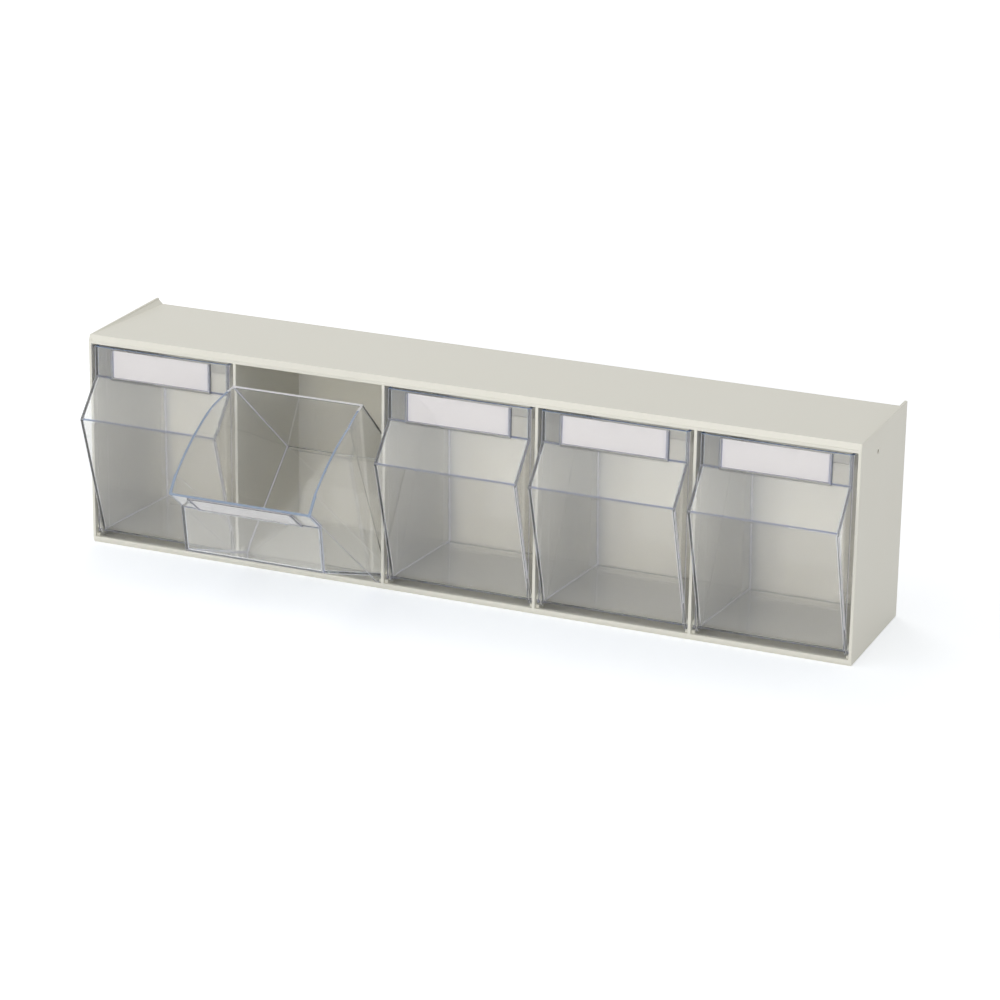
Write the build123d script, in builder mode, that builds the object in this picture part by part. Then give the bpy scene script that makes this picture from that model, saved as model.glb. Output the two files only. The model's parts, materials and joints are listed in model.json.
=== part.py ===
from build123d import *
from math import cos, sin, radians, sqrt
import os

os.makedirs("parts", exist_ok=True)

# All sizes are in millimetres and degrees. X runs along the front, Y from the front to the
# back and Z up. The origin is the middle of the cabinet's flat underside.

# Cabinet
cabinet_width = 600.0
cabinet_depth = 108.0
cabinet_height = 164.0
bay_count = 5
open_bay = 2                # the bay whose bin stands tipped out
wall = 2.3                  # end walls, and dividers at the front
panel = 2.4                 # top, floor and back
divider_draft = 0.4         # how much thicker each divider face stands at the back
top_fall = 4.4              # how far the top drops to the back between the end walls
lip_depth = 3.0             # front to back, the frame round the openings
lip_top = 6.8               # height of the frame above the openings
lip_bottom = 4.9            # height of the frame below the openings
bead = 2.5                  # bright flat band right round each opening
bead_step = 0.4             # the band stands this far proud of the bevel
bevel_depth = 1.6           # how far the outer bevel leans back
ramp = 3.2                  # ramp between the top and an end wall, at the back
ramp_start = 8.0            # where the ramps begin, behind the face
bay_corner = 1.2            # inside corner radius at the back of a bay
edge_round = 0.8            # outside rounding of the end walls

# Screw hole in each end wall
screw_hole_radius = 1.7
screw_hole_y = 40.0         # behind the face
screw_hole_drop = 17.0      # below the top

# Pivot, from the cabinet's face and underside
pivot_y = 7.5
pivot_z = 9.2
pin_radius = 2.5
pin_clearance = 0.05        # radial running clearance of a pin in its socket
pin_end_gap = 0.15          # from a pin's end to the divider
block_wall = 2.45           # of a pivot block, round its socket
block_side_gap = 0.4        # between a block and the bin's arm
snap_mouth = 0.86           # mouth of a socket, as a share of the pin's diameter
open_angle = 52.0

# Bin, closed in its bay, with its places front to back from the cabinet's face
bin_wall = 1.8
top_gap = 1.2               # from the top of the opening down to the bin's top
label_y = -1.0              # label panel's front face
label_panel = 23.0          # height of the label panel
nose_y = -26.0
nose_drop = 27.0            # from the foot of the label panel down to the nose
front_foot_y = 6.0          # where the lower front panel meets the floor
floor_drop = 1.6            # from the pivot down to the underside of the floor
back_gap = 4.6              # from the cabinet's back panel to the top of the bin's back
back_lean = 5.4             # from the foot of the back to its top
back_swing_gap = 8.3        # the top of the back passes this far below the opening's top
crown_reach = 41.0          # from the top of the back forward to the crown of the rim
crown_swing_gap = 6.1       # the crown passes this far below the opening's top
bend_radius = 1.6           # outside radius of the creases
arm_gap = 2.75              # from a divider to the arm beside it
arm_proud = 0.5             # how far an arm stands out from the bin's side
arm_depth = 15.0            # from the face to the back of an arm, where the rim begins to fall
toe_inset = 0.4             # from the face to the tip of a toe, when tipped out
taper_start = 16.0          # where the side begins to draw in, at the floor
side_taper = 0.094          # it draws in by this much per millimetre back
side_flare = 0.045          # and out again by this much per millimetre up
crease_radius = 60.0        # soft bend where the side begins to draw in
corner_round = 0.8          # rounding between the sides and the front, floor and back
inside_round = 1.0          # rounding of the inside corners
heel_depth = 2.6            # rib below the back wall
rest_gap = 0.1              # between a stop and what it lands on

# Label card, its clear cover and the holder round them
label_width = 79.6
label_drop = 1.1            # from the bin's top down to the card
card_thickness = 0.4
cover_thickness = 0.6
label_gap = 0.05            # between the card, the cover and the holder
label_end_gap = 0.3         # beside and below the card
holder_wall = 1.2
holder_lip = 1.0            # how far the holder's lip reaches over the card
holder_lip_thickness = 0.6

# Worked out from the sizes above
face_y = -cabinet_depth / 2
back_y = cabinet_depth / 2
end_x = cabinet_width / 2
bay_pitch = (cabinet_width - wall) / bay_count
bay_width = bay_pitch - wall
opening_top = cabinet_height - lip_top
divider_x = bay_width / 2
arm_x = divider_x - arm_gap
bin_x = arm_x - arm_proud
block_x = arm_x + block_side_gap
pin_end_x = divider_x - pin_end_gap
socket_radius = pin_radius + pin_clearance
block_radius = socket_radius + block_wall
toe = pivot_z - lip_bottom - rest_gap
pivot = (face_y + pivot_y, pivot_z)
bay_centres = [(n - (bay_count - 1) / 2) * bay_pitch for n in range(bay_count)]
bin_top = opening_top - top_gap
label_foot = bin_top - label_panel
nose_z = label_foot - nose_drop
bin_floor_z = pivot_z - floor_drop
back_top_y = cabinet_depth - panel - back_gap
back_foot_y = back_top_y - back_lean
crown_y = back_top_y - crown_reach
swing = opening_top - pivot_z
back_top_z = pivot_z + sqrt((swing - back_swing_gap) ** 2 - (back_top_y - pivot_y) ** 2)
crown_z = pivot_z + sqrt((swing - crown_swing_gap) ** 2 - (crown_y - pivot_y) ** 2)
slot_depth = card_thickness + cover_thickness + 3 * label_gap
card_foot = label_foot + holder_lip / 2
card_top = bin_top - label_drop


def place(y, z):
    """A point of the side profile, measured from the cabinet's face and underside."""
    return (face_y + y, z)


def below_rim(y, z):
    """Whether a point of a bin's outline is on its front, floor or back, and not on its rim."""
    return z < back_top_z - bend_radius or (y < face_y and z < bin_top - bend_radius)


def side_plane(side, inset):
    """The leaning plane of a bin's side, moved inwards by inset."""
    normal = Vector(side, side_taper, -side_flare).normalized()
    start = Vector(side * bin_x, face_y + taper_start, bin_floor_z) - normal * inset
    return Plane(origin=start, z_dir=normal)


def faces_sideways(normal):
    """Whether a face points mostly to the left or right."""
    return abs(normal.X) > abs(normal.Y) + abs(normal.Z)


def side_edges(shape, creases):
    """The creases between two faces of one side of a bin, or the edges round its sides."""
    sides = [f for f in shape.faces() if faces_sideways(f.normal_at())]
    edges = [e for f in sides for e in f.edges()]
    uses = 2 if creases else 1
    return ShapeList(e for e in edges if sum(e.is_same(other) for other in edges) == uses)


# Inside of one bay behind the frame, about X = 0
back_top = cabinet_height - top_fall
front_roof = cabinet_height - panel - top_fall * lip_depth / cabinet_depth
back_roof = back_top - panel
with BuildPart() as bay_core:
    with BuildSketch(Plane.XZ.offset(-(face_y + lip_depth))):
        with Locations((0, (panel + front_roof) / 2)):
            Rectangle(bay_width, front_roof - panel)
    with BuildSketch(Plane.XZ.offset(-(back_y - panel))):
        with Locations((0, (panel + back_roof) / 2)):
            Rectangle(bay_width - 2 * divider_draft, back_roof - panel)
    loft(ruled=True)
    fillet(bay_core.faces().sort_by(Axis.Y)[-1].edges(), bay_corner)


# Cabinet: one moulding of end walls, top, floor, back, dividers and pivot blocks
with BuildPart() as cabinet:
    with BuildSketch(Plane.YZ):
        with BuildLine():
            Polyline(
                place(bevel_depth, 0),
                place(bead_step, lip_bottom - bead),
                place(0, lip_bottom - bead),
                place(0, opening_top + bead),
                place(bead_step, opening_top + bead),
                place(bevel_depth, cabinet_height),
                place(cabinet_depth, back_top),
                place(cabinet_depth, 0),
                close=True,
            )
        make_face()
    extrude(amount=end_x - wall, both=True)

    # end walls keep the full height, so their rear corners stand above the top
    for side in (-1, 1):
        with BuildSketch(Plane.YZ.offset(side * (end_x - wall / 2))):
            with BuildLine():
                Polyline(
                    place(bevel_depth, 0),
                    place(0, lip_bottom - bead),
                    place(0, opening_top + bead),
                    place(bevel_depth, cabinet_height),
                    place(cabinet_depth, cabinet_height),
                    place(cabinet_depth, 0),
                    close=True,
                )
            make_face()
        extrude(amount=wall / 2, both=True)
    ends = cabinet.faces().sort_by(Axis.X)
    fillet(ends[0].edges() + ends[-1].edges(), edge_round)

    # a ramp fills the corner between the top and each end wall, and grows to the back
    for side in (-1, 1):
        inner = side * (end_x - wall / 2)
        for y in (ramp_start, cabinet_depth):
            share = (y - bevel_depth) / (cabinet_depth - bevel_depth)
            foot = cabinet_height - top_fall * share
            leg = ramp * share
            with BuildSketch(Plane.XZ.offset(-(face_y + y))):
                with BuildLine():
                    Polyline(
                        (inner, foot - wall / 2),
                        (inner, foot + leg),
                        (inner - side * wall / 2, foot + leg),
                        (inner - side * (wall / 2 + leg), foot),
                        (inner - side * (wall / 2 + leg), foot - wall / 2),
                        close=True,
                    )
                make_face()
        loft(ruled=True)

    # bays, a little narrower and lower to the back
    for x in bay_centres:
        add(bay_core.part.moved(Location((x, 0, 0))), mode=Mode.SUBTRACT)

    # openings through the front frame
    with BuildSketch(Plane.XZ.offset(-face_y)):
        for x in bay_centres:
            with Locations((x, (lip_bottom + opening_top) / 2)):
                Rectangle(bay_width, opening_top - lip_bottom)
    extrude(amount=-lip_depth, mode=Mode.SUBTRACT)

    # pivot blocks, each with a socket that opens forward through a narrower mouth
    for x in bay_centres:
        for side in (-1, 1):
            block_start = x + side * (divider_x + wall / 4)
            block_end = x + side * block_x
            with BuildSketch(Plane.YZ.offset(block_start)):
                with Locations(place(pivot_y, (pivot_z + panel / 2) / 2)):
                    Rectangle(2 * block_radius, pivot_z - panel / 2)
                with Locations(pivot):
                    Circle(block_radius)
                    Circle(socket_radius, mode=Mode.SUBTRACT)
                with Locations(place(pivot_y - block_radius, pivot_z)):
                    Rectangle(2 * block_radius, 2 * pin_radius * snap_mouth, mode=Mode.SUBTRACT)
            extrude(amount=block_end - block_start)

    # one screw hole near the top of each end wall
    for side in (-1, 1):
        with BuildSketch(Plane.YZ.offset(side * end_x)):
            with Locations(place(screw_hole_y, cabinet_height - screw_hole_drop)):
                Circle(screw_hole_radius)
        extrude(amount=-2 * side * wall, mode=Mode.SUBTRACT)


# Inside of a bin, open at the top
inside_top = 2 * bin_top
back_end = place(back_top_y + back_lean, 2 * back_top_z - bin_floor_z)
with BuildPart() as bin_inside:
    with BuildSketch(Plane.YZ):
        with BuildLine():
            FilletPolyline(
                place(label_y, inside_top),
                place(label_y, label_foot),
                place(nose_y, nose_z),
                place(front_foot_y, bin_floor_z),
                place(back_foot_y, bin_floor_z),
                back_end,
                radius=bin_wall + bend_radius,
            )
            Line(back_end, place(label_y, inside_top))
        make_face()
        offset(amount=-bin_wall)
    extrude(amount=bin_x - bin_wall, both=True)
    for side in (-1, 1):
        split(bisect_by=side_plane(side, bin_wall), keep=Keep.BOTTOM)
    fillet(side_edges(bin_inside, True), crease_radius)
    lid = bin_inside.faces().sort_by(Axis.Z)[-1]
    corners = side_edges(bin_inside, False).filter_by(lambda e: lid.distance_to(e.center()) > bin_wall)
    fillet(corners, inside_round)


# A bin as it stands closed in a bay whose middle is at X = 0
open_lean = radians(open_angle)
toe_corner = (
    pivot_y - (pivot_y - toe_inset) * cos(open_lean) - toe * sin(open_lean),
    pivot_z + (pivot_y - toe_inset) * sin(open_lean) - toe * cos(open_lean),
)
with BuildPart() as tip_bin:
    with BuildSketch(Plane.YZ):
        with BuildLine():
            Polyline(
                place(label_y, bin_top),
                place(label_y, label_foot),
                place(nose_y, nose_z),
                place(front_foot_y, bin_floor_z),
                place(back_foot_y, bin_floor_z),
                place(back_top_y, back_top_z),
            )
            ThreePointArc(
                place(back_top_y, back_top_z),
                place(crown_y, crown_z),
                place(arm_depth, bin_top),
            )
            Line(place(arm_depth, bin_top), place(label_y, bin_top))
        make_face()
        fillet(vertices().filter_by(lambda v: below_rim(v.X, v.Y)), bend_radius)
    extrude(amount=bin_x, both=True)
    for side in (-1, 1):
        split(bisect_by=side_plane(side, 0), keep=Keep.BOTTOM)
    fillet(side_edges(tip_bin, True), crease_radius)
    corners = side_edges(tip_bin, False)
    fillet(corners.filter_by(lambda e: below_rim(e.center().Y, e.center().Z)), corner_round)
    add(bin_inside.part, mode=Mode.SUBTRACT)

    # a rib below the back wall, on which the closed bin stands
    with BuildSketch(Plane.YZ):
        with BuildLine():
            Polyline(
                place(back_foot_y - heel_depth, bin_floor_z + bin_wall / 2),
                place(back_foot_y - heel_depth, panel + rest_gap),
                place(back_foot_y - bin_wall / 4, panel + rest_gap),
                place(back_foot_y, bin_floor_z + bin_wall / 2),
                close=True,
            )
        make_face()
    heel_x = bin_x - side_taper * (back_foot_y - taper_start) - bin_wall
    extrude(amount=heel_x, both=True)

    # arms: a raised strip up each side, with the toe that lands on the frame when tipped out
    for side in (-1, 1):
        with BuildSketch(Plane.YZ.offset(side * (bin_x - bin_wall / 2))):
            with BuildLine():
                Polyline(
                    place(0, bin_top),
                    place(*toe_corner),
                    place(pivot_y - toe * sin(open_lean), pivot_z - toe * cos(open_lean)),
                    place(pivot_y, pivot_z - toe),
                    place(pivot_y + toe, pivot_z - toe),
                    place(arm_depth, pivot_z),
                    place(arm_depth, bin_top),
                    close=True,
                )
            make_face()
        extrude(amount=side * (arm_proud + bin_wall / 2))
        with BuildSketch(Plane.YZ.offset(side * bin_x)):
            with Locations(pivot):
                Circle(pin_radius)
        extrude(amount=side * (pin_end_x - bin_x))

    # label holder: a rail below the card and one at each end, each with a lip over the card
    rail_x = label_width / 2 + label_end_gap
    rail_z = card_foot - label_end_gap
    outer_height = card_top - rail_z + holder_wall
    with BuildSketch(Plane.XZ.offset(-(face_y + label_y))):
        with Locations((0, card_top - outer_height / 2)):
            Rectangle(2 * (rail_x + holder_wall), outer_height)
        with Locations((0, (rail_z + card_top) / 2)):
            Rectangle(2 * rail_x, card_top - rail_z, mode=Mode.SUBTRACT)
    extrude(amount=slot_depth)
    with BuildSketch(Plane.XZ.offset(-(face_y + label_y) + slot_depth)):
        with Locations((0, card_top - outer_height / 2)):
            Rectangle(2 * (rail_x + holder_wall), outer_height)
        with Locations((0, (rail_z + holder_lip + card_top) / 2)):
            Rectangle(2 * (rail_x - holder_lip), card_top - rail_z - holder_lip, mode=Mode.SUBTRACT)
    extrude(amount=holder_lip_thickness)


# Label card and its clear cover, in the closed bin's place
card_back = face_y + label_y - label_gap
with BuildPart() as card:
    with BuildSketch(Plane.XZ.offset(-card_back)):
        with Locations((0, (card_foot + card_top) / 2)):
            Rectangle(label_width, card_top - card_foot)
    extrude(amount=card_thickness)

cover_back = card_back - card_thickness - label_gap
with BuildPart() as cover:
    with BuildSketch(Plane.XZ.offset(-cover_back)):
        with Locations((0, (card_foot + card_top) / 2)):
            RectangleRounded(label_width, card_top - card_foot, card_thickness)
    extrude(amount=cover_thickness)


# Each bay gets its own bin, card and cover, turned about the pivot where the bin is tipped out
cabinet.part.label = "cabinet"
export_step(cabinet.part, "parts/cabinet.step")
pivot_axis = Axis((0, *pivot), (1, 0, 0))
for number, x in enumerate(bay_centres, start=1):
    lean = open_angle if number == open_bay else 0
    for name, piece in (("bin", tip_bin), ("label_card", card), ("label_cover", cover)):
        copy = piece.part.rotate(pivot_axis, lean).moved(Location((x, 0, 0)))
        copy.label = f"{name}_{number}"
        export_step(copy, f"parts/{copy.label}.step")
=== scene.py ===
import json
import math
import bmesh
import bpy
from mathutils import Matrix, Vector

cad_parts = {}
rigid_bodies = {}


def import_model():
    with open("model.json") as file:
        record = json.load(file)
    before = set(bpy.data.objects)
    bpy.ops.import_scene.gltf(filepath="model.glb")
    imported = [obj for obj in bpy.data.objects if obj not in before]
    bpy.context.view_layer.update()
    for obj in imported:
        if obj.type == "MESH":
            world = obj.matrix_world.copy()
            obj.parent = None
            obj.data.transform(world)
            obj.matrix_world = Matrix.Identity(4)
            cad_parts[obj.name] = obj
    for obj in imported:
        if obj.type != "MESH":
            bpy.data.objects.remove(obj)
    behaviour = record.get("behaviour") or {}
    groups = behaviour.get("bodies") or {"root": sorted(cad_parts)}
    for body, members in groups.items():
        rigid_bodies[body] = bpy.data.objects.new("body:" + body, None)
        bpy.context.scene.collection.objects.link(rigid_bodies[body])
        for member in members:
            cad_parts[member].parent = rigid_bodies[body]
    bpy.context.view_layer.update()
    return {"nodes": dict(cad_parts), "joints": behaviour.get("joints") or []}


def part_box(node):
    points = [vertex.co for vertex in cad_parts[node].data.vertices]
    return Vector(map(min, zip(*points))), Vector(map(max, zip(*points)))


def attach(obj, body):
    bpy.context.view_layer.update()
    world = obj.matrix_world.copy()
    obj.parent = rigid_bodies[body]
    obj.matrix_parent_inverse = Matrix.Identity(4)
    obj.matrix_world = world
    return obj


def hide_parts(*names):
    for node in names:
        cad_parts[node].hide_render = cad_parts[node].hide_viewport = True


for thing in list(bpy.data.objects):  # start from an empty scene
    bpy.data.objects.remove(thing)
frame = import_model()
nodes = frame["nodes"]
# the tipping joints, by the number of their bin
tipJoints = {int(joint["child"].removeprefix("tip_bin_")): joint for joint in frame["joints"]}
print("frame loaded,", len(nodes), "nodes")


# Camera, at the photograph's angle
camera = {
    "turn": 22.44,  # degrees to the right of straight ahead
    "rise": 19.56,  # degrees above the horizon
    "roll": 0.89,
    "distance": 2.700,
    "lens": 132.7,
    "sensor": 36,
    "aim": (0, -0.004, 0.082),
    "aimRight": 0.0109,  # metres, so that the object lies in the picture as in the photograph
    "aimUp": -0.0182,
}


def makeCamera(spec):
    turn, rise, roll = (math.radians(spec[key]) for key in ("turn", "rise", "roll"))
    forward = Vector((-math.sin(turn) * math.cos(rise), math.cos(turn) * math.cos(rise),
                      -math.sin(rise)))
    level = Vector((math.cos(turn), math.sin(turn), 0))
    upright = level.cross(forward)
    right = math.cos(roll) * level + math.sin(roll) * upright
    up = math.cos(roll) * upright - math.sin(roll) * level
    data = bpy.data.cameras.new("camera")
    data.sensor_width = spec["sensor"]
    data.lens = spec["lens"]
    cam = bpy.data.objects.new("camera", data)
    bpy.context.collection.objects.link(cam)
    place = (Vector(spec["aim"]) - forward * spec["distance"]
             + right * spec["aimRight"] + up * spec["aimUp"])
    turned = Matrix((right, up, -forward)).transposed().to_4x4()
    cam.matrix_world = Matrix.Translation(place) @ turned
    bpy.context.scene.camera = cam


makeCamera(camera)
print("camera placed")


# Lamps: a low one in front that reaches into the bays, a broad one overhead that the sloping
# panels mirror, one behind, and a weak one on the right
lamps = {
    "front": {
        "place": (-0.10, -2.45, 0.33), "aim": (0, 0, 0.08),
        "side": 0.7, "watts": 13.5, "tint": (1.0, 0.99, 0.97),
    },
    "overhead": {
        "place": (-0.68, -0.76, 1.65), "aim": (0, 0, 0.1),
        "side": 1.4, "watts": 6, "tint": (0.975, 1.0, 0.985),
    },
    "behind": {
        "place": (-0.55, 0.85, 1.95), "aim": (0, 0, 0.05),
        "side": 0.7, "watts": 5, "tint": (1.0, 0.985, 0.955),
    },
    "right": {
        "place": (2.2, -0.8, 0.7), "aim": (0.3, 0, 0.1),
        "side": 1.2, "watts": 4, "tint": (1.0, 0.99, 0.97),
    },
}


def makeLamp(name, spec):
    data = bpy.data.lights.new(name, "AREA")
    data.size = spec["side"]
    data.energy = spec["watts"]
    data.color = spec["tint"]
    lamp = bpy.data.objects.new(name, data)
    bpy.context.collection.objects.link(lamp)
    lamp.location = spec["place"]
    towards = Vector(spec["aim"]) - Vector(spec["place"])
    lamp.rotation_euler = towards.to_track_quat("-Z", "Y").to_euler()


for name, spec in lamps.items():
    makeLamp(name, spec)
print("lamps placed")


# Node helpers
def newMaterial(name):
    mat = bpy.data.materials.new(name)
    mat.use_nodes = True
    mat.node_tree.nodes.clear()
    return mat, mat.node_tree


def addNode(tree, kind, inputs=(), **settings):
    node = tree.nodes.new(kind)
    for key, value in settings.items():
        setattr(node, key, value)
    for key, value in dict(inputs).items():  # an output to link, or a value
        if isinstance(value, bpy.types.NodeSocket):
            tree.links.new(value, node.inputs[key])
        else:
            node.inputs[key].default_value = value
    return node


def largerOf(tree, first, second):
    return addNode(tree, "ShaderNodeMath", {0: first, 1: second}, operation="MAXIMUM").outputs[0]


def scaledAdd(tree, value, factor, base):  # value * factor + base
    return addNode(tree, "ShaderNodeMath", {0: value, 1: factor, 2: base},
                   operation="MULTIPLY_ADD").outputs[0]


def mixedColor(tree, factor, first, second):
    return addNode(tree, "ShaderNodeMix", {0: factor, 6: first, 7: second},
                   data_type="RGBA").outputs[2]


# 1 for rays from the camera, and for those that glass bends or a gloss mirrors
def seenDirectly(tree):
    path = addNode(tree, "ShaderNodeLightPath").outputs
    seen = largerOf(tree, path["Is Camera Ray"], path["Is Glossy Ray"])
    return largerOf(tree, seen, path["Is Transmission Ray"])


# World: white where it is seen, a faint warm white where it lights
world = {"white": (1, 1, 1, 1), "sky": (1.0, 0.985, 0.96, 1), "strength": 0.55}


def makeWorld(spec):
    sky = bpy.data.worlds.new("studio")
    sky.use_nodes = True
    tree = sky.node_tree
    tree.nodes.clear()
    shown = addNode(tree, "ShaderNodeBackground", {"Color": spec["white"], "Strength": 1})
    lit = addNode(tree, "ShaderNodeBackground", {
        "Color": spec["sky"], "Strength": spec["strength"],
    })
    mix = addNode(tree, "ShaderNodeMixShader", {
        0: seenDirectly(tree), 1: lit.outputs[0], 2: shown.outputs[0],
    })
    addNode(tree, "ShaderNodeOutputWorld", {"Surface": mix.outputs[0]})
    bpy.context.scene.world = sky


makeWorld(world)


# Floor: white where it is lit, with a soft cool shadow; the cool tint is painted by the grey-blue
# glow near the object. Its glow lights nothing, and rises with distance, so that the floor stays
# white where the lamps fall off
floor = {
    "side": 14, "color": (0.9, 0.9, 0.9, 1), "roughness": 0.9, "unseen": (0, 0, 0, 1),
    "nearGlow": (0.37, 0.395, 0.43, 1), "farGlow": (0.9, 0.9, 0.9, 1), "near": 0.5, "far": 1.6,
}


def makeFloor(spec):
    bm = bmesh.new()
    bmesh.ops.create_grid(bm, x_segments=1, y_segments=1, size=spec["side"] / 2)
    mesh = bpy.data.meshes.new("floor")
    bm.to_mesh(mesh)
    bm.free()
    ground = bpy.data.objects.new("floor", mesh)
    bpy.context.collection.objects.link(ground)
    mat, tree = newMaterial("floorWhite")
    place = addNode(tree, "ShaderNodeTexCoord").outputs["Object"]
    reach = addNode(tree, "ShaderNodeVectorMath", {0: place}, operation="LENGTH").outputs["Value"]
    away = addNode(tree, "ShaderNodeMapRange", {
        "Value": reach, "From Min": spec["near"], "From Max": spec["far"],
    }).outputs[0]
    glow = mixedColor(tree, away, spec["nearGlow"], spec["farGlow"])
    surface = addNode(tree, "ShaderNodeBsdfPrincipled", {
        "Base Color": spec["color"], "Roughness": spec["roughness"], "Specular IOR Level": 0,
        "Emission Color": mixedColor(tree, seenDirectly(tree), spec["unseen"], glow),
        "Emission Strength": 1,
    })
    addNode(tree, "ShaderNodeOutputMaterial", {"Surface": surface.outputs[0]})
    mesh.materials.append(mat)


makeFloor(floor)
print("stage ready")


# Modelling helpers. Shapes are drawn in millimetres, with y from the cabinet's face and
# z from its underside, and are brought into the frame's metres when they are done
mm = 0.001
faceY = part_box("cabinet")[0].y
near = 0.01  # mm, and places nearer than this count as the same
square = 0.1  # a face is square to an axis if its normal has less than this of it
facing = 0.3  # and it looks along the axis if its normal has more than this of it


def pushed(bm, faces, by=(0, 0, 0)):  # extrudes faces and gives the moved vertices
    flat = all(len(edge.link_faces) == 1 for face in faces for edge in face.edges)
    out = bmesh.ops.extrude_face_region(bm, geom=faces)["geom"]
    if not flat:  # on a solid the old faces would be left inside
        bmesh.ops.delete(bm, geom=faces, context="FACES")
    moved = [v for v in out if isinstance(v, bmesh.types.BMVert)]
    bmesh.ops.translate(bm, verts=moved, vec=by)
    return moved


def block(points, x, width):  # a (y, z) outline pulled along x
    bm = bmesh.new()
    face = bm.faces.new([bm.verts.new((x, y, z)) for y, z in points])
    pushed(bm, [face], (width, 0, 0))
    bmesh.ops.recalc_face_normals(bm, faces=bm.faces)
    return bm


def bevelEdges(bm, edges, rounding):
    bmesh.ops.bevel(bm, geom=edges, offset=rounding["width"], segments=rounding["segments"],
                    profile=0.5, affect="EDGES", material=-1, clamp_overlap=False)


# Operators leave vertices and faces in an order that changes from run to run, and joining and
# merging depend on it. So the mesh is made anew before and after such steps, with its places
# rounded to so many digits and everything sorted by place
def inOrder(bm, digits=4):
    for v in bm.verts:
        v.co = [round(c, digits) for c in v.co]
    places = sorted(bm.verts, key=lambda v: (v.co.x, v.co.z, -v.co.y))
    rank = {v: number for number, v in enumerate(places)}
    rings = []
    for face in bm.faces:
        ring = [rank[v] for v in face.verts]
        first = ring.index(min(ring))
        rings.append((ring[first:] + ring[:first], face.material_index))
    ordered = bmesh.new()
    verts = [ordered.verts.new(v.co) for v in places]
    for ring, slot in sorted(rings):
        ordered.faces.new([verts[number] for number in ring]).material_index = slot
    bm.free()
    ordered.normal_update()
    return ordered


def newObject(name, bm, mats=()):
    mesh = bpy.data.meshes.new(name)
    bm.to_mesh(mesh)
    bm.free()
    for mat in mats:
        mesh.materials.append(mat)
    piece = bpy.data.objects.new(name, mesh)
    bpy.context.collection.objects.link(piece)
    return piece


def applied(piece):  # a bmesh of the piece with its modifiers applied, and the piece is used up
    graph = bpy.context.evaluated_depsgraph_get()
    mesh = bpy.data.meshes.new_from_object(piece.evaluated_get(graph))
    bpy.data.objects.remove(piece)
    bm = bmesh.new()
    bm.from_mesh(mesh)
    return inOrder(bm)


def joined(base, extras):
    for extra in extras:
        join = base.modifiers.new("join", "BOOLEAN")
        join.operation = "UNION"
        join.solver = "EXACT"
        join.object = extra
    bm = applied(base)
    for extra in extras:
        bpy.data.objects.remove(extra)
    return bm


def turnAt(edge):  # the angle between its faces, positive on an outside corner
    return edge.calc_face_angle_signed(0)


def smoothed(bm, sharp):  # smooth faces, but for edges that turn by more than sharp, in radians
    for face in bm.faces:
        face.smooth = True
    for edge in bm.edges:
        edge.smooth = abs(turnAt(edge)) < sharp


# Clear tip-out bin, closed in a bay whose middle is at x = 0
tipBin = {
    # down the label panel, out to the nose, and down and back to the floor
    "below": [(-1, 156), (-1, 133), (-26, 106), (6, 7.6), (95.6, 7.6)],
    "rimStart": (15, 156),
    "rimCentre": (-17.177, -15.846),  # the rim falls to the back in an arc about this point
    "rimTurn": 31.922,
    "rimSteps": 20,
    "halfWidth": 55.37,
    "wall": 1.8,
    "creaseStart": (16, 7.6),  # where the sides begin to draw in
    "sideTaper": 0.094,
    "sideFlare": 0.045,
    "lid": 0.5,  # the open top's face looks up by more than this
    "side": 0.7,  # and a side's face looks sideways by more than this
    # roundings, with the least turn, in radians, of the edges that get them
    "sideCrease": {"least": 0.02, "width": 0.8, "segments": 1},
    "cross": {"least": 0.3},
    "crossOut": {"width": 1.5, "segments": 4},
    "crossIn": {"width": 0.7, "segments": 4},
    "sideCorner": {"least": 0.8, "width": 0.8, "segments": 3},
    "easing": {"least": 0.6, "width": 0.3, "segments": 2},
    "flat": 0.004,  # faces that turn less than this, in radians, are made one
    "merge": 0.12,  # and so are vertices nearer than this
    "sharp": 0.7,  # edges that turn more than this aren't shaded smooth
    "arm": [(0, 156), (-0.181, 12.209), (4.19, 6.614), (7.5, 5), (11.7, 5), (15, 9.2), (15, 156)],
    "armProud": 0.5,
    "pivot": (7.5, 9.2),
    "pinRadius": 2.5,
    "pinEnd": 58.47,
    "heel": [(93, 8.5), (93, 2.5), (95.15, 2.5), (95.6, 8.5)],
    "heelHalf": 46.09,
    "gate": (5, 14, 9.4),  # where the plastic came in, a small flat-topped stub
    "gateFoot": 1.7,
    "gateTop": 1.1,
    "gateHeight": 0.5,
}
holder = {
    "outside": 41.3, "inside": 40.1,  # half widths
    "foot": 132.0, "slotFoot": 133.2, "top": 154.9,
    "root": -0.2, "lipBack": -2.15, "front": -2.75, "lip": 1.0,
    "chamfer": {"width": 0.45, "segments": 1},
}


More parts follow.
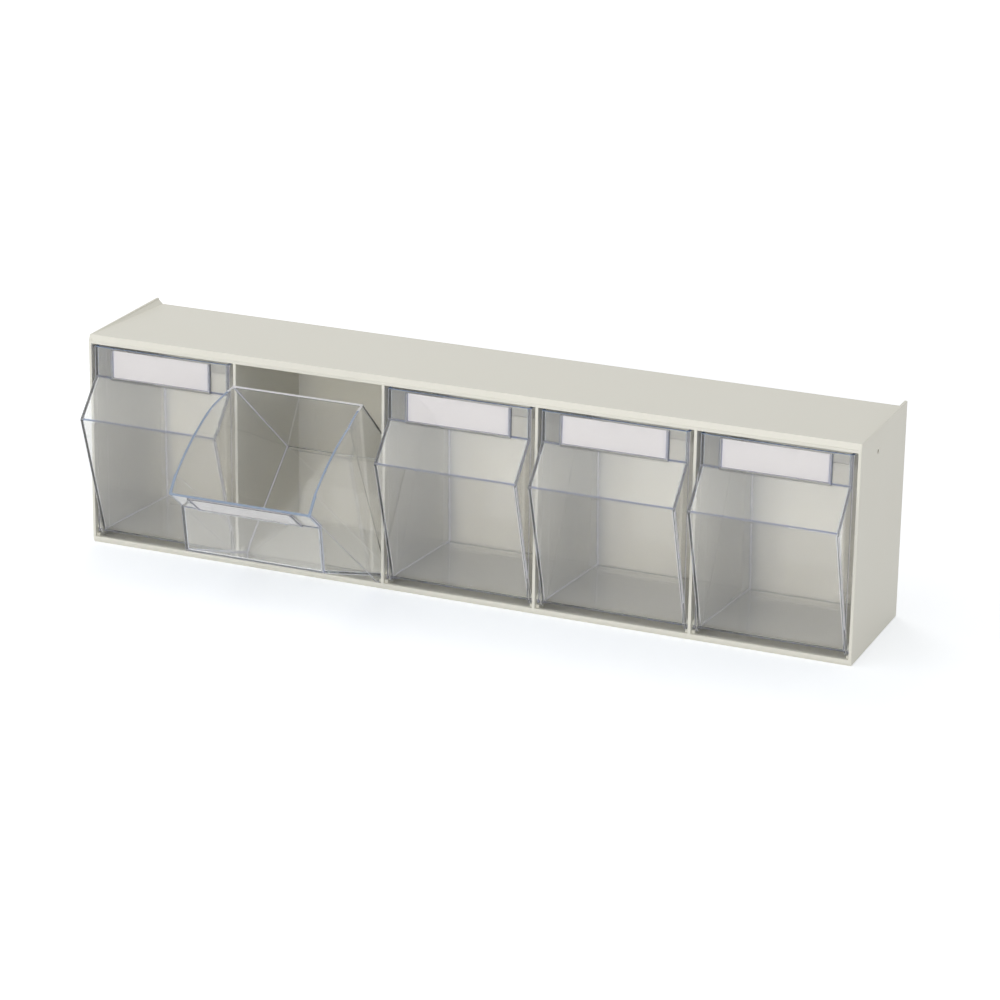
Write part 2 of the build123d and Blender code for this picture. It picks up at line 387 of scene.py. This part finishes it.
def openBlock(spec):  # the bin's outer form, leaning in at the sides, with no lid
    bm = bmesh.new()
    start = bm.verts.new((0, *spec["rimStart"]))
    bmesh.ops.spin(bm, geom=[start], cent=(0, *spec["rimCentre"]), axis=(-1, 0, 0),
                   angle=math.radians(spec["rimTurn"]), steps=spec["rimSteps"])
    rim = sorted(bm.verts, key=lambda v: -v.co.y)
    face = bm.faces.new([bm.verts.new((0, y, z)) for y, z in spec["below"]] + rim)
    bmesh.ops.translate(bm, verts=bm.verts, vec=(-spec["halfWidth"], 0, 0))
    pushed(bm, [face], (2 * spec["halfWidth"], 0, 0))
    for side in (-1, 1):
        cut = bmesh.ops.bisect_plane(
            bm, geom=bm.verts[:] + bm.edges[:] + bm.faces[:], dist=1e-5, clear_outer=True,
            plane_co=(side * spec["halfWidth"], *spec["creaseStart"]),
            plane_no=(side, spec["sideTaper"], -spec["sideFlare"]),
        )["geom_cut"]
        bmesh.ops.contextual_create(bm, geom=[e for e in cut if isinstance(e, bmesh.types.BMEdge)])
    bmesh.ops.recalc_face_normals(bm, faces=bm.faces)
    lid = [f for f in bm.faces if f.normal.z > spec["lid"] and f.normal.y > -square]
    bmesh.ops.delete(bm, geom=lid, context="FACES_ONLY")
    return bm


def binShell(spec):  # an even wall with rounded creases and corners, but a sharp rim
    shell = newObject("shell", openBlock(spec), [None, None])
    wall = shell.modifiers.new("wall", "SOLIDIFY")
    wall.thickness = spec["wall"]
    wall.offset = -1
    wall.solidify_mode = "NON_MANIFOLD"
    wall.nonmanifold_thickness_mode = "CONSTRAINTS"
    wall.material_offset_rim = 1
    bm = applied(shell)

    def edgesFor(rounding, sideFaces):  # edges off the rim, with so many side faces beside them
        return [e for e in bm.edges if abs(turnAt(e)) > rounding["least"]
                and all(f.material_index == 0 for f in e.link_faces)
                and sum(abs(f.normal.x) > spec["side"] for f in e.link_faces) == sideFaces]

    bevelEdges(bm, edgesFor(spec["sideCrease"], 2), spec["sideCrease"])
    cross = edgesFor(spec["cross"], 0)
    bevelEdges(bm, [e for e in cross if turnAt(e) > 0], spec["crossOut"])
    bevelEdges(bm, [e for e in cross if e.is_valid and turnAt(e) < 0], spec["crossIn"])
    bevelEdges(bm, edgesFor(spec["sideCorner"], 1), spec["sideCorner"])
    return bm


# Rails below and beside the label, drawn as a U and pulled forward, with a lip over the card
def labelHolder(spec):
    bm = bmesh.new()
    out, inn, top = spec["outside"], spec["inside"], spec["top"]
    foot, slotFoot = spec["foot"], spec["slotFoot"]
    outline = [(-out, top), (-out, foot), (out, foot), (out, top),
               (inn, top), (inn, slotFoot), (-inn, slotFoot), (-inn, top)]
    face = bm.faces.new([bm.verts.new((x, spec["root"], z)) for x, z in outline])
    pushed(bm, [face], (0, spec["lipBack"] - spec["root"], 0))
    cap = min(bm.faces, key=lambda f: f.calc_center_median().y)
    pushed(bm, [cap], (0, spec["front"] - spec["lipBack"], 0))
    inner = [f for f in bm.faces
             if f.calc_center_median().y < spec["lipBack"] and abs(f.normal.y) < square
             and all(abs(v.co.x) < inn + near and v.co.z > slotFoot - near for v in f.verts)]
    for v in pushed(bm, inner):
        v.co.x -= math.copysign(spec["lip"], v.co.x)
        v.co.z += spec["lip"] if v.co.z < slotFoot + near else 0
    bmesh.ops.recalc_face_normals(bm, faces=bm.faces)
    outer = [e for e in bm.edges if all(v.co.y < spec["front"] + near for v in e.verts)
             and (all(abs(v.co.x) > out - near for v in e.verts)
                  or all(v.co.z < foot + near for v in e.verts))]
    bevelEdges(bm, outer, spec["chamfer"])
    return bm


def pivotPin(spec, side):
    bm = bmesh.new()
    length = spec["pinEnd"] - spec["halfWidth"] + spec["wall"] / 2
    place = Matrix.Translation((side * (spec["pinEnd"] - length / 2), *spec["pivot"]))
    bmesh.ops.create_cone(
        bm, cap_ends=True, segments=32, radius1=spec["pinRadius"], radius2=spec["pinRadius"],
        depth=length, matrix=place @ Matrix.Rotation(math.pi / 2, 4, "Y"))
    return bm


def gateMark(spec):
    bm = bmesh.new()
    bmesh.ops.create_cone(
        bm, cap_ends=True, segments=24, radius1=spec["gateFoot"], radius2=spec["gateTop"],
        depth=2 * spec["gateHeight"], matrix=Matrix.Translation(spec["gate"]))
    return bm


# The finishes of a bin: clear walls, then painted light and shade: a blue painted shade on the cut
# rim, painted sheen on corners, painted shade lines under the label and on soft creases, and
# painted pale sheen on edges at the back and low on the sides. Faces are told apart by where they
# are and how they lean
finishes = ["clear", "rim", "corner", "paintedShadeLine", "paintedCreaseShade", "paintedPaleSheen"]
creases = [
    # painted shade lines on the upper half of the nose bend, under the label panel, and at the
    # foot
    {"finish": "paintedCreaseShade", "y": (-26.5, -21.5), "z": (104.5, 107.5), "tilt": (0.12, 0.64)},
    {"finish": "paintedShadeLine", "y": (-4.25, 0.75), "z": (132.0, 134.5), "tilt": (0.03, 0.64)},
    {"finish": "paintedCreaseShade", "y": (3.5, 8.5), "z": (7.5, 10.0), "tilt": (-0.97, -0.35)},
]
finishing = {
    "rimReach": 1,  # the rim's faces are nearer than this to its arc
    "paleRim": 92,  # the rim is pale behind this
    "corner": (0.15, 0.97),  # how far the faces of a side corner look sideways
    "paleBack": 20,  # side corners are pale behind this
    "paleFoot": 103,  # and below this, which is the foot of the nose
    "bend": (0.995, 0.99998),  # how far the faces of a side's soft bend look sideways
    "bendArea": 150,  # in mm2, and the broad sides are larger
}


def between(value, limits):
    return limits[0] < value < limits[1]


def onCrease(middle, out, crease):
    placed = between(middle.y, crease["y"]) and between(middle.z, crease["z"])
    return placed and out.y < 0 and abs(out.x) < square and between(out.z, crease["tilt"])


def onHolderEdge(middle, out, spec):  # the chamfers round the label holder
    ahead = middle.y < spec["lipBack"] and middle.z > spec["foot"] - near
    return ahead and out.y < -facing and (out.z < -facing or abs(out.x) > facing)


def onRim(middle, out, spec):
    start, centre = Vector(spec["rimStart"]), Vector(spec["rimCentre"])
    offArc = (middle.yz - centre).length - (start - centre).length
    onArc = middle.y > start.x and abs(offArc) < finishing["rimReach"]
    return (onArc or middle.z > start.y - spec["easing"]["width"]) and out.z > facing


def finishOf(face, spec, holderSpec):
    middle, out = face.calc_center_median(), face.normal
    for crease in creases:
        if onCrease(middle, out, crease):
            return crease["finish"]
    # the label holder's chamfers take the painted dark shade line
    if onHolderEdge(middle, out, holderSpec):
        return "paintedShadeLine"
    # the cut rim takes the painted blue shade, and behind paleRim the painted pale sheen
    if onRim(middle, out, spec):
        return "paintedPaleSheen" if middle.y > finishing["paleRim"] else "rim"
    # side corners, and below them the small faces of a side's soft bend, take the painted corner
    # sheen
    if between(abs(out.x), finishing["corner"]):
        # corners at the back or low on the side take the painted pale sheen instead
        paintedPaleSheen = middle.y > finishing["paleBack"] or middle.z < finishing["paleFoot"]
        return "paintedPaleSheen" if paintedPaleSheen else "corner"
    if between(abs(out.x), finishing["bend"]) and face.calc_area() < finishing["bendArea"]:
        return "corner"
    return "clear"


def wholeBin(spec, holderSpec):
    base = newObject("base", inOrder(binShell(spec)), [None, None])
    armStart = spec["halfWidth"] - spec["wall"] / 2
    armWidth = spec["wall"] / 2 + spec["armProud"]
    heel = block(spec["heel"], -spec["heelHalf"], 2 * spec["heelHalf"])
    extras = [labelHolder(holderSpec), gateMark(spec), heel]
    for side in (-1, 1):
        extras += [block(spec["arm"], side * armStart, side * armWidth), pivotPin(spec, side)]
    bm = joined(base, [newObject("extra", inOrder(extra)) for extra in extras])
    bmesh.ops.dissolve_limit(bm, angle_limit=spec["flat"], verts=bm.verts, edges=bm.edges)
    bm = inOrder(bm)
    bmesh.ops.remove_doubles(bm, verts=bm.verts, dist=spec["merge"])
    bm = inOrder(bm)
    easing = spec["easing"]
    bevelEdges(bm, [e for e in bm.edges if turnAt(e) > easing["least"]], easing)
    bm = inOrder(bm)
    for face in bm.faces:
        face.material_index = finishes.index(finishOf(face, spec, holderSpec))
    smoothed(bm, spec["sharp"])
    toFrame = Matrix.Translation((0, faceY, 0)) @ Matrix.Scale(mm, 4)
    bmesh.ops.transform(bm, verts=bm.verts, matrix=toFrame)
    return bm


# One group for every moulded or pressed surface: a fine grain to feed a Bump, and broad drifts
# of colour and roughness
sockets = {
    "INPUT": {"Vector": "Vector", "Grain": "Float", "Drift": "Float", "Color": "Color",
              "Color Drift": "Float", "Roughness": "Float", "Roughness Drift": "Float"},
    "OUTPUT": {"Color": "Color", "Roughness": "Float", "Height": "Float"},
}


def mouldedSurface():
    group = bpy.data.node_groups.new("mouldedSurface", "ShaderNodeTree")
    for way, kinds in sockets.items():
        for name, kind in kinds.items():
            group.interface.new_socket(name, in_out=way, socket_type=f"NodeSocket{kind}")
    given = addNode(group, "NodeGroupInput").outputs
    fine, broad = (addNode(group, "ShaderNodeTexNoise", {
        "Vector": given["Vector"], "Scale": given[size], "Detail": 3,
    }).outputs[0] for size in ("Grain", "Drift"))
    swing = addNode(group, "ShaderNodeMapRange", {  # most of the noise lies in this span
        "Value": broad, "From Min": 0.25, "From Max": 0.75, "To Min": -1.0, "To Max": 1.0,
    }).outputs[0]
    tone = scaledAdd(group, swing, given["Color Drift"], 1.0)
    color = addNode(group, "ShaderNodeVectorMath", {0: given["Color"], "Scale": tone},
                    operation="SCALE").outputs[0]
    rough = scaledAdd(group, swing, given["Roughness Drift"], given["Roughness"])
    addNode(group, "NodeGroupOutput", {"Color": color, "Roughness": rough, "Height": fine})
    return group


surfaceGroup = mouldedSurface()


# A Principled shader with the group in its colour, roughness and bump
def surfaced(tree, spec, **plain):
    group = addNode(tree, "ShaderNodeGroup", {
        "Vector": addNode(tree, "ShaderNodeTexCoord").outputs["Object"],
        "Grain": spec["grain"], "Drift": spec["drift"],
        "Color": spec["color"], "Color Drift": spec["colorDrift"],
        "Roughness": spec["roughness"], "Roughness Drift": spec["roughnessDrift"],
    }, node_tree=surfaceGroup)
    bump = addNode(tree, "ShaderNodeBump", {
        "Height": group.outputs["Height"], "Strength": spec["bump"], "Distance": spec["bumpDepth"],
    })
    return addNode(tree, "ShaderNodeBsdfPrincipled", {
        "Base Color": group.outputs["Color"], "Roughness": group.outputs["Roughness"],
        "Normal": bump.outputs[0], **plain,
    })


def solidMaterial(name, spec):
    mat, tree = newMaterial(name)
    surface = surfaced(tree, spec)
    addNode(tree, "ShaderNodeOutputMaterial", {"Surface": surface.outputs[0]})
    return mat


# Ivory moulded plastic, finely spark-textured
ivory = {
    "color": (0.735, 0.725, 0.655, 1), "colorDrift": 0.012,
    "roughness": 0.42, "roughnessDrift": 0.05,
    "grain": 1400, "drift": 14, "bump": 0.2, "bumpDepth": 0.00003,
}
ivoryFrontPaintedLight = {**ivory, "color": (0.81, 0.80, 0.73, 1)}  # the front frame, painted a little lighter as if more light fell on it

card = {
    "color": (0.60, 0.585, 0.612, 1), "colorDrift": 0.01,
    "roughness": 0.6, "roughnessDrift": 0.05,
    "grain": 2600, "drift": 60, "bump": 0.25, "bumpDepth": 0.00003,
}

# Clear polystyrene, faintly wavy: lamps shine straight through it, a little warmer. The other
# finishes are the same plastic, made cloudier and tinted as painted light and shade, to match how
# its edges and bends look
clear = {
    "color": (0.985, 0.982, 0.972, 1), "colorDrift": 0.006,
    "roughness": 0.035, "roughnessDrift": 0.015,
    "grain": 45, "drift": 22, "bump": 0.1, "bumpDepth": 0.001,
    "ior": 1.59, "transmission": 0.95, "through": (0.90, 0.885, 0.86, 1),
    "absorb": (0.5, 0.8, 1.0, 1), "density": 4,
}
# painted shade: the cut rim is painted a darker blue for the dark blue line its cut edge shows
rim = {**clear, "color": (0.42, 0.53, 0.70, 1), "roughness": 0.25, "transmission": 0.5}
# painted sheen: side corners and soft bends are whiter and cloudier, for light gathering in them
corner = {**clear, "color": (0.91, 0.92, 0.93, 1), "roughness": 0.15, "transmission": 0.7}
# painted shade: a dark line under the label holder, where the clear rail bends the light away
paintedShadeLine = {**clear, "color": (0.32, 0.33, 0.35, 1), "roughness": 0.2, "transmission": 0.5}
# painted shade: a grey line along the nose bend and at the foot
paintedCreaseShade = {**clear, "color": (0.5, 0.5, 0.49, 1), "roughness": 0.3, "transmission": 0.6}
# painted sheen: pale edges at the back of the rim and low on the side corners, for light gathering
# in them
paintedPaleSheen = {**clear, "color": (0.93, 0.92, 0.92, 1), "roughness": 0.3, "transmission": 0.4}
cover = {**clear, "density": 0}


def clearPlastic(name, spec):
    mat, tree = newMaterial(name)
    path = addNode(tree, "ShaderNodeLightPath")
    surface = surfaced(tree, spec, **{
        "IOR": spec["ior"], "Transmission Weight": spec["transmission"],
    })
    through = addNode(tree, "ShaderNodeBsdfTransparent", {"Color": spec["through"]})
    mix = addNode(tree, "ShaderNodeMixShader", {
        0: path.outputs["Is Shadow Ray"], 1: surface.outputs[0], 2: through.outputs[0],
    })
    out = addNode(tree, "ShaderNodeOutputMaterial", {"Surface": mix.outputs[0]})
    if spec["density"]:
        absorb = addNode(tree, "ShaderNodeVolumeAbsorption", {
            "Color": spec["absorb"], "Density": spec["density"],
        })
        tree.links.new(absorb.outputs[0], out.inputs["Volume"])
    return mat


def setMaterial(name, mat):
    nodes[name].data.materials.clear()
    nodes[name].data.materials.append(mat)


def shadedEvenly(piece):
    even = piece.modifiers.new("even", "WEIGHTED_NORMAL")
    even.keep_sharp = True


# Cabinet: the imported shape, in metres, with its long front edges rounded
cabinet = {
    "rounding": {"least": 0.7, "width": 0.35 * mm, "segments": 3},
    "shortest": 2 * mm,  # shorter edges aren't rounded
    "frameDepth": 2 * mm,  # the front frame's faces lie within this of the front, and those facing forward are painted lighter
    "merge": 0.001 * mm,
    "flat": 0.006,
    "sharp": 0.5,
    "digits": 7,  # for inOrder, in metres here
}


def roundedCabinet(spec):
    bm = bmesh.new()
    bm.from_mesh(nodes["cabinet"].data)
    bmesh.ops.remove_doubles(bm, verts=bm.verts, dist=spec["merge"])
    bmesh.ops.dissolve_limit(bm, angle_limit=spec["flat"], verts=bm.verts, edges=bm.edges)
    bm = inOrder(bm, spec["digits"])
    rounding = spec["rounding"]
    front = [e for e in bm.edges if all(v.co.y < faceY + near * mm for v in e.verts)]
    bevelEdges(bm, [e for e in front if turnAt(e) > rounding["least"]
                    and e.calc_length() > spec["shortest"]], rounding)
    bm = inOrder(bm, spec["digits"])
    for face in bm.faces:
        inFrame = face.calc_center_median().y < faceY + spec["frameDepth"]
        # forward-facing faces of the front frame take the lighter ivory, a painted light
        face.material_index = 1 if inFrame and face.normal.y < -facing else 0
    smoothed(bm, spec["sharp"])
    return bm


ivoryMats = [solidMaterial("ivoryPlastic", ivory), solidMaterial("ivoryFrontPaintedLight", ivoryFrontPaintedLight)]
ivoryCabinet = newObject("ivory_cabinet", roundedCabinet(cabinet), ivoryMats)
shadedEvenly(ivoryCabinet)
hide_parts("cabinet")
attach(ivoryCabinet, "cabinet")
print("cabinet ready")

binMats = [clearPlastic(name, spec) for name, spec in (  # in the order of finishes
    ("clearPlastic", clear), ("clearRimPaintedShade", rim), ("clearPaintedCornerSheen", corner),
    ("clearPaintedShadeLine", paintedShadeLine), ("clearPaintedCreaseShade", paintedCreaseShade), ("clearPaintedPaleSheen", paintedPaleSheen))]
coverMat = clearPlastic("clearCover", cover)
cardMat = solidMaterial("cardPaper", card)
shapedBin = newObject("shapedBin", wholeBin(tipBin, holder), binMats)
for n, joint in tipJoints.items():
    lean = -math.radians(joint["range_deg"][0])  # how far this bin stands tipped out
    pivot = Vector(joint["pos_m"])
    piece = bpy.data.objects.new(f"clear_bin_{n}", shapedBin.data.copy())
    bpy.context.collection.objects.link(piece)
    piece.data.transform(Matrix.Translation((pivot.x, 0, 0)))
    tip = Matrix.Rotation(lean, 4, "X")
    piece.data.transform(Matrix.Translation(pivot) @ tip @ Matrix.Translation(-pivot))
    shadedEvenly(piece)
    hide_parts(f"bin_{n}")
    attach(piece, f"tip_bin_{n}")
    setMaterial(f"label_card_{n}", cardMat)
    setMaterial(f"label_cover_{n}", coverMat)
bpy.data.objects.remove(shapedBin)
print("bins ready")

scene = bpy.context.scene
scene.cycles.max_bounces = 32  # light runs far along the inside of a clear wall
scene.cycles.transmission_bounces = 32
scene.view_settings.view_transform = "Standard"
